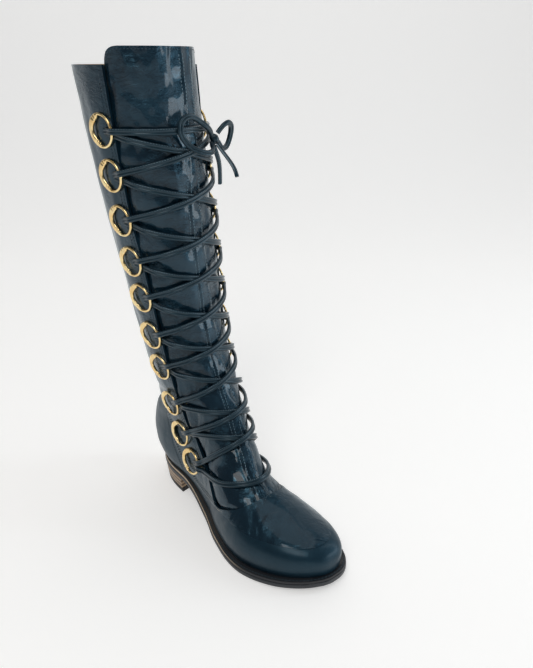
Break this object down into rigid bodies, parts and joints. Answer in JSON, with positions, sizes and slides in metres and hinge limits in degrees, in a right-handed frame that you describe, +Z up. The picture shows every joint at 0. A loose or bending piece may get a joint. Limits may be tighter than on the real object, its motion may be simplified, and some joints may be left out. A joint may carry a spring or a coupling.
{
  "type": "lace-up boot",
  "caption": "Tall patent leather lace-up boot for the right foot with a full-height front panel, gold lacing rings, a low stacked heel and a welted sole.",
  "frame": {"origin": "on the floor at the middle of the boot's bounding box", "axes": "+Z up, toe towards -Y, outer side of the foot towards -X"},
  "size_m": [0.1266, 0.296, 0.461],
  "materials": {
    "panel_patent": "glossy blue-black crinkled patent leather",
    "heel_stack": "stacked natural leather, stained black at the rear",
    "insole": "natural insole board",
    "lace": "narrow folded and stitched black leather",
    "sole_edge": "burnished black leather edge and worn leather tread",
    "ring_gold": "polished pale gold",
    "top_lift": "matt black rubber",
    "upper_patent": "glossy blue-black patent leather, crinkled on the shaft",
    "welt": "dark stained welt with a row of pale stitches"
  },
  "bodies": {
    "root": {"front_panel": "panel_patent", "heel": "heel_stack", "insole": "insole", "lace_bar": "lace", "lace_crossing_01": "lace", "lace_crossing_02": "lace", "lace_crossing_03": "lace", "lace_crossing_04": "lace", "lace_crossing_05": "lace", "lace_crossing_06": "lace", "lace_crossing_low": "lace", "lace_end_back": "lace", "lace_end_front": "lace", "lace_knot": "lace", "lace_loop_inner": "lace", "lace_loop_outer": "lace", "outsole": "sole_edge", "ring_inner_01": "ring_gold", "ring_inner_02": "ring_gold", "ring_inner_03": "ring_gold", "ring_inner_04": "ring_gold", "ring_inner_05": "ring_gold", "ring_inner_06": "ring_gold", "ring_inner_07": "ring_gold", "ring_inner_08": "ring_gold", "ring_inner_09": "ring_gold", "ring_inner_10": "ring_gold", "ring_outer_01": "ring_gold", "ring_outer_02": "ring_gold", "ring_outer_03": "ring_gold", "ring_outer_04": "ring_gold", "ring_outer_05": "ring_gold", "ring_outer_06": "ring_gold", "ring_outer_07": "ring_gold", "ring_outer_08": "ring_gold", "ring_outer_09": "ring_gold", "ring_outer_10": "ring_gold", "top_lift": "top_lift", "upper": "upper_patent", "welt": "welt"}
  },
  "joints": []
}
